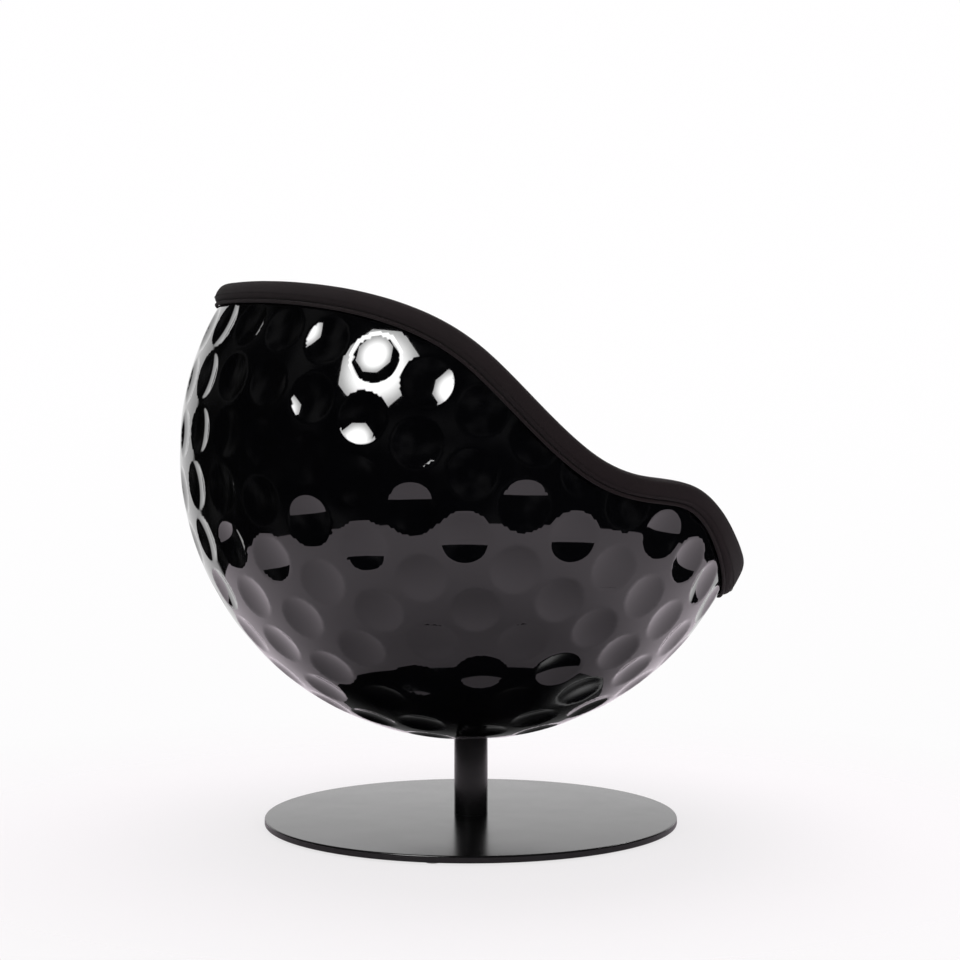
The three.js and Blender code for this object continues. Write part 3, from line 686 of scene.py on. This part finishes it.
def rim_stitching():
    """The stitched line above the hem."""
    angles = np.arange(0, 360, 0.75)
    middle = below_edge(angles, rim_band(angles) * 0.8)
    points = on_ball(middle, BALL_RADIUS + rim_proud(angles)[:, None] * 0.92)
    piece = stitches("rim_stitching", points, middle, 0.0034, 0.0046, 0.00042)
    return finish_piece(piece, "seat", "rim_fabric")


# ---------------------------------------------------------------- lining

LINING_SEAMS = 12  # upright seams round the lining


def seam_dip(angles, count, width, depth):
    """How far a sewn panel sinks at its seams and how much it fills out between them."""
    spacing = 360 / count
    off = np.abs((angles + spacing / 2) % spacing - spacing / 2)
    return depth * np.exp(-((off / width) ** 2)) - 0.35 * depth * np.sin(math.pi * off / spacing) ** 2


def seat_lining():
    low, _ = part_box("seat_lining")
    angles = np.arange(0, 360, 1.0)
    top = below_edge(angles, RIM_COVER + TOUCH_GAP)
    around = np.degrees(np.arctan2(top[:, 0], -top[:, 1]))
    outer_radius = BALL_RADIUS - SHELL_THICKNESS - 0.003
    inner_radius = BALL_RADIUS - SHELL_THICKNESS - LINING_THICKNESS

    def column_rows(radius, rows, dip):
        foot_height = math.degrees(math.asin((low.z - BALL_CENTRE[2]) / radius))
        foot = direction(around, np.full(len(around), foot_height))
        whole = np.arccos(np.clip(np.sum(top * foot, axis=1, keepdims=True), -1, 1))
        made = []
        for share in np.linspace(0, 1, rows):
            row = unit(top * np.sin((1 - share) * whole) + foot * np.sin(share * whole))
            strength = dip * math.sin(math.pi * min(1, 1.2 * share))
            press = seam_dip(around, LINING_SEAMS, 1.5, 0.0035) * strength
            made.append(on_ball(row, radius + press[:, None]))
        return made

    outer = column_rows(outer_radius, 8, 0)
    inner = column_rows(inner_radius, 44, 1)
    piece = loft("lining_cover", np.stack(outer + inner[::-1], axis=1))
    return finish_piece(piece, "seat", "seat_fabric", "seat_lining", material="lining_fabric")


# ---------------------------------------------------------------- cushions

def remeshed_copy(name, node, voxel, shrink):
    """A copy of a CAD soft solid, drawn in a little and remeshed evenly."""
    piece = add_object(name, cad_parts[node].data.copy())
    merged = bmesh.new()
    merged.from_mesh(piece.data)
    bmesh.ops.remove_doubles(merged, verts=merged.verts, dist=1e-5)
    bmesh.ops.recalc_face_normals(merged, faces=merged.faces)
    merged.to_mesh(piece.data)
    merged.free()
    apply_modifier(piece, "REMESH", mode="VOXEL", voxel_size=voxel)
    apply_modifier(piece, "SMOOTH", factor=0.5, iterations=6)
    set_coordinates(piece.data, coordinates(piece.data) - vertex_normals(piece.data) * shrink)
    return piece


def evaluated_mesh(piece):
    graph = bpy.context.evaluated_depsgraph_get()
    return bpy.data.meshes.new_from_object(piece.evaluated_get(graph), depsgraph=graph)


def apply_modifier(piece, kind, **settings):
    modifier = piece.modifiers.new(kind.title(), kind)
    for key, value in settings.items():
        setattr(modifier, key, value)
    bpy.context.view_layer.update()
    applied = evaluated_mesh(piece)
    piece.modifiers.clear()
    piece.data = applied
    piece.data.shade_smooth()


def swell(piece, pressure, most, frames=20):
    """Inflates the cover as cloth, and caps how far any point moves."""
    start = coordinates(piece.data)
    cloth = piece.modifiers.new("Cloth", "CLOTH")
    settings = cloth.settings
    settings.quality = 4
    settings.mass = 0.25
    settings.tension_stiffness = 18
    settings.compression_stiffness = 18
    settings.bending_stiffness = 0.6
    settings.use_pressure = True
    settings.uniform_pressure_force = pressure
    settings.effector_weights.gravity = 0
    cloth.collision_settings.use_collision = False
    cloth.point_cache.frame_start = 1
    cloth.point_cache.frame_end = frames
    scene = bpy.context.scene
    for number in range(1, frames + 1):
        scene.frame_set(number)
    moved = coordinates(evaluated_mesh(piece)) - start
    piece.modifiers.clear()
    scene.frame_set(1)
    length = np.linalg.norm(moved, axis=1, keepdims=True)
    set_coordinates(piece.data, start + moved * np.minimum(1, most / np.maximum(length, 1e-9)))


def press_groove(piece, distance, width, depth):
    """Sinks the surface where distance, in metres from a seam, is small."""
    points = coordinates(piece.data)
    sink = depth * np.exp(-((distance(points) / width) ** 2))
    set_coordinates(piece.data, points - vertex_normals(piece.data) * sink[:, None])


CUSHION_CROWN = 0.012


def seat_cushion():
    low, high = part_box("seat_cushion")
    piece = remeshed_copy("seat_cushion_cover", "seat_cushion", 0.0065, 0.006)
    centre = np.array([(low.x + high.x) / 2, (low.y + high.y) / 2])
    points = coordinates(piece.data)
    from_centre = np.hypot(*(points[:, :2] - centre).T) / ((high.x - low.x) / 2)
    height_share = np.clip((points[:, 2] - low.z) / (high.z - low.z), 0, 1)
    points[:, 2] += CUSHION_CROWN * np.clip(1 - from_centre ** 2, 0, 1) * height_share
    set_coordinates(piece.data, points)
    swell(piece, 3.5, 0.007)
    seam_level = low.z + 0.42 * (high.z - low.z)
    press_groove(piece, lambda p: p[:, 2] - seam_level, 0.004, 0.003)
    add_subdivision(piece, 1)
    return finish_piece(piece, "seat", "seat_fabric", "seat_cushion")


def seat_piping():
    low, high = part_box("seat_piping")
    angles = np.radians(np.arange(0, 360, 1.5))
    outward = np.stack([np.cos(angles), np.sin(angles), 0 * angles], axis=1)
    radius = (high.x - low.x) / 2 - PIPING_RADIUS
    middle = np.array([0, (low.y + high.y) / 2, (low.z + high.z) / 2])
    upward = np.tile([0.0, 0.0, 1.0], (len(angles), 1))
    piece = tube("seat_piping_cord", middle + outward * radius, outward, upward, PIPING_RADIUS)
    return finish_piece(piece, "seat", "seat_fabric", "seat_piping", material="lining_fabric")


BACK_SEAMS = (-48, -16, 16, 48)  # degrees to each side of the back


def back_pad():
    piece = remeshed_copy("back_pad_cover", "back_pad", 0.0065, 0.006)
    swell(piece, 4.0, 0.009)

    def to_seams(points):
        aside = np.degrees(np.arctan2(points[:, 0], points[:, 1] - BALL_CENTRE[1]))
        off = np.min([np.abs(aside - seam) for seam in BACK_SEAMS], axis=0)
        return np.radians(off) * np.hypot(points[:, 0], points[:, 1])

    press_groove(piece, to_seams, 0.005, 0.006)
    add_subdivision(piece, 1)
    return finish_piece(piece, "seat", "seat_fabric", "back_pad")


# ---------------------------------------------------------------- base

def base_plate():
    low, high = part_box("base_plate")
    edge = high.x
    profile = rounded(
        [(0, low.z), (edge - 0.0002, low.z), (edge - 0.0002, high.z), (0, high.z)], 0.0026, 7
    )
    piece = lathe("plate", profile, 256)
    return finish_piece(piece, "base", "black_steel", "base_plate")


def column():
    low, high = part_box("column_tube")
    outer = high.x
    wall = 0.0025
    profile = [
        (outer, low.z), (outer, high.z - 0.0006), (outer - 0.0006, high.z), (outer - wall, high.z),
        (outer - wall, low.z), (outer, low.z),
    ]
    piece = lathe("column", profile, 96)
    modifier = piece.modifiers.new("Bevel", "BEVEL")
    modifier.width = 0.0003
    modifier.segments = 2
    return finish_piece(piece, "base", "black_steel", "column_tube")


def glides():
    for number in range(1, 7):
        low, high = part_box(f"glide_{number}")
        middle = ((low.x + high.x) / 2, (low.y + high.y) / 2)
        radius = (high.x - low.x) / 2
        shoulder = low.z + 0.0027
        profile = rounded(
            [
                (0, low.z), (radius, low.z), (radius, shoulder),
                (0.004, shoulder), (0.004, high.z), (0, high.z),
            ],
            0.0009,
        )
        piece = lathe(f"glide_foot_{number}", profile, 48, middle)
        finish_piece(piece, "base", "nylon", f"glide_{number}", material="glide_nylon")


# ---------------------------------------------------------------- CAD nodes that stay

STAYING = {
    "plain_steel": ["spindle", "retaining_washer", "retaining_nut", "thrust_washer", "column_foot"],
    "nylon": ["upper_bush", "lower_bush"],
    "black_steel": ["swivel_plate"],
    "plywood": ["mounting_board", "seat_deck"],
    "glass_fibre": ["board_tabbing"],
}
NUMBERED = {
    "plain_steel": {"mounting_bolt": 4, "mounting_nut": 4, "deck_screw": 4, "foot_screw": 3},
    "plywood": {"deck_post": 4},
}


def dress_cad_nodes():
    names = [(slot, node) for slot, nodes in STAYING.items() for node in nodes]
    for slot, groups in NUMBERED.items():
        names += [(slot, f"{stem}_{k}") for stem, count in groups.items() for k in range(1, count + 1)]
    for slot, node in names:
        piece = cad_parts[node]
        piece.data.materials.clear()
        piece.data.materials.append(MATERIALS[slot])


# ---------------------------------------------------------------- studio

FLOOR_RADIUS = 1.28
FLOOR_GLOW_SHARE = 0.75


def pale_floor():
    """A round pale floor that fades into the backdrop.

    It looks faintly mauve in the gloss. Seen by the camera it is mostly an even glow, so shadows stay faint.
    """
    profile = [(0, 0.0), (0.6, 0.0), (FLOOR_RADIUS, 0.0)]
    floor = lathe("floor", profile, 128)
    set_coordinates(floor.data, coordinates(floor.data) - [0, 0, 0.0001])
    made = Shader("paper", (0.84, 0.78, 0.825), 0.85, Specular_IOR_Level=0.2)
    where = made.place()
    grain = made.noise(where, 220, 3)
    made.link(made.ramp(grain, (0.3, (0.78, 0.70, 0.76)), (0.7, (0.80, 0.72, 0.78))), "Base Color")
    tree = made.tree
    far = tree.nodes.new("ShaderNodeVectorMath")
    far.operation = "LENGTH"
    tree.links.new(where, far.inputs[0])
    fade = made.node("ShaderNodeMapRange", Value=far.outputs["Value"])
    fade.inputs["From Min"].default_value = 0.5
    fade.inputs["From Max"].default_value = FLOOR_RADIUS - 0.03
    fade.interpolation_type = "SMOOTHSTEP"
    seen = tree.nodes.new("ShaderNodeLightPath").outputs["Is Camera Ray"]
    share = made.math("MULTIPLY", fade.outputs["Result"], seen)
    mix = tree.nodes.new("ShaderNodeMixShader")
    clear = tree.nodes.new("ShaderNodeBsdfTransparent")
    glow = tree.nodes.new("ShaderNodeEmission")
    glow.inputs["Color"].default_value = (1, 0.99, 0.995, 1)
    glow.inputs["Strength"].default_value = 1.0
    lit = tree.nodes.new("ShaderNodeMixShader")
    tree.links.new(made.math("MULTIPLY", seen, FLOOR_GLOW_SHARE), lit.inputs["Fac"])
    tree.links.new(made.surface.outputs["BSDF"], lit.inputs[1])
    tree.links.new(glow.outputs["Emission"], lit.inputs[2])
    tree.links.new(share, mix.inputs["Fac"])
    tree.links.new(lit.outputs["Shader"], mix.inputs[1])
    tree.links.new(clear.outputs["BSDF"], mix.inputs[2])
    tree.links.new(mix.outputs["Shader"], tree.nodes["Material Output"].inputs["Surface"])
    floor.data.materials.append(made.material)


def octagon_lamp(name, towards, distance, radius, strength):
    """An eight-sided softbox that faces the ball, brightest in its middle, and shows only in gloss."""
    facing = unit(np.array(towards, float))
    middle = BALL_CENTRE + facing * distance
    across = unit(np.cross(facing, [0, 0, 1.0]))
    upward = np.cross(across, facing)
    turns = np.radians(22.5 + 45 * np.arange(8))
    points = [middle + radius * (across * math.cos(t) + upward * math.sin(t)) for t in turns]
    lamp = mesh_object(name, points, [tuple(range(8))], smooth=False)
    material = bpy.data.materials.new(name)
    material.use_nodes = True
    tree = material.node_tree
    tree.nodes.remove(tree.nodes["Principled BSDF"])
    place = tree.nodes.new("ShaderNodeMapping")
    place.inputs["Location"].default_value = tuple(-middle / radius)
    place.inputs["Scale"].default_value = (1 / radius, 1 / radius, 1 / radius)
    tree.links.new(tree.nodes.new("ShaderNodeTexCoord").outputs["Object"], place.inputs["Vector"])
    spot = tree.nodes.new("ShaderNodeTexGradient")
    spot.gradient_type = "SPHERICAL"
    tree.links.new(place.outputs["Vector"], spot.inputs["Vector"])
    falloff = tree.nodes.new("ShaderNodeMapRange")
    falloff.interpolation_type = "SMOOTHSTEP"
    falloff.inputs["From Max"].default_value = 0.6
    falloff.inputs["To Min"].default_value = strength * 0.3
    falloff.inputs["To Max"].default_value = strength
    tree.links.new(spot.outputs["Fac"], falloff.inputs["Value"])
    glow = tree.nodes.new("ShaderNodeEmission")
    tree.links.new(falloff.outputs["Result"], glow.inputs["Strength"])
    tree.links.new(glow.outputs["Emission"], tree.nodes["Material Output"].inputs["Surface"])
    lamp.data.materials.append(material)
    lamp.visible_camera = False
    lamp.visible_diffuse = False
    lamp.visible_shadow = False


def soft_light(name, place, size, power):
    """A large soft area light that lights cloth and floor and doesn't show in gloss."""
    data = bpy.data.lights.new(name, "AREA")
    data.shape = "DISK"
    data.size = size
    data.energy = power
    lamp = bpy.data.objects.new(name, data)
    bpy.context.scene.collection.objects.link(lamp)
    lamp.location = place
    aim = Vector(BALL_CENTRE) - Vector(place)
    lamp.rotation_euler = aim.to_track_quat("-Z", "Y").to_euler()
    lamp.visible_camera = False
    lamp.visible_glossy = False


def studio_world():
    """White behind the chair and a dim, slightly uneven room elsewhere, with a pale backdrop for the camera."""
    world = bpy.data.worlds.new("studio")
    bpy.context.scene.world = world
    world.use_nodes = True
    tree = world.node_tree
    backdrop = tree.nodes["Background"]
    separate = tree.nodes.new("ShaderNodeSeparateXYZ")
    coordinate = tree.nodes.new("ShaderNodeTexCoord")
    tree.links.new(coordinate.outputs["Generated"], separate.inputs["Vector"])

    def rescale(value, low, high, to_low, to_high):
        node = tree.nodes.new("ShaderNodeMapRange")
        node.interpolation_type = "SMOOTHSTEP"
        for socket, number in zip(("From Min", "From Max", "To Min", "To Max"), (low, high, to_low, to_high)):
            node.inputs[socket].default_value = number
        tree.links.new(value, node.inputs["Value"])
        return node.outputs["Result"]

    def calculate(operation, first, second):
        node = tree.nodes.new("ShaderNodeMath")
        node.operation = operation
        for number, value in enumerate((first, second)):
            if isinstance(value, bpy.types.NodeSocket):
                tree.links.new(value, node.inputs[number])
            else:
                node.inputs[number].default_value = value
        return node.outputs["Value"]

    behind = rescale(separate.outputs["X"], 0.69, 0.73, 0.0, 1.0)
    under_top = rescale(separate.outputs["Z"], 0.45, 0.7, 1.0, 0.0)
    sweep = calculate("MULTIPLY", behind, under_top)
    room = tree.nodes.new("ShaderNodeTexNoise")
    room.inputs["Scale"].default_value = 2.2
    room.inputs["Detail"].default_value = 2
    tree.links.new(coordinate.outputs["Generated"], room.inputs["Vector"])
    dim_room = rescale(room.outputs["Fac"], 0.45, 0.75, 0.006, 0.075)
    gloss = calculate("ADD", calculate("MULTIPLY", sweep, 0.95), dim_room)
    pale = rescale(separate.outputs["Z"], -0.3, 0.1, 0.97, 1.0)
    path = tree.nodes.new("ShaderNodeLightPath")
    ambient = 0.6

    def choose(flag, yes, no):
        difference = calculate("SUBTRACT", yes, no)
        return calculate("ADD", no, calculate("MULTIPLY", flag, difference))

    strength = choose(path.outputs["Is Diffuse Ray"], ambient, gloss)
    strength = choose(path.outputs["Is Camera Ray"], pale, strength)
    tree.links.new(strength, backdrop.inputs["Strength"])
    backdrop.inputs["Color"].default_value = (1, 0.995, 1, 1)


def studio_camera():
    data = bpy.data.cameras.new("camera")
    data.sensor_width = 36
    data.lens = 66.56
    data.clip_start = 0.05
    camera = bpy.data.objects.new("camera", data)
    bpy.context.scene.collection.objects.link(camera)
    camera.location = (-2.65, -0.0135, 0.510)
    camera.rotation_euler = (math.radians(90), 0, math.radians(-90))
    bpy.context.scene.camera = camera


# ---------------------------------------------------------------- the chair and its studio

studio_camera()
studio_world()
pale_floor()
octagon_lamp("key_softbox", (-0.752, 0.488, 0.443), 2.0, 0.5, 21)
octagon_lamp("far_softbox", (0.55, -0.55, 0.63), 2.2, 0.42, 14)
soft_light("overhead", (0.6, 0.1, 2.4), 2.0, 42)
soft_light("front_fill", (-2.4, -1.6, 1.5), 1.6, 22)
bpy.context.scene.view_settings.view_transform = "Standard"

outer_shell()
rim_padding()
rim_welt()
rim_stitching()
seat_lining()
seat_cushion()
seat_piping()
back_pad()
base_plate()
column()
glides()
dress_cad_nodes()
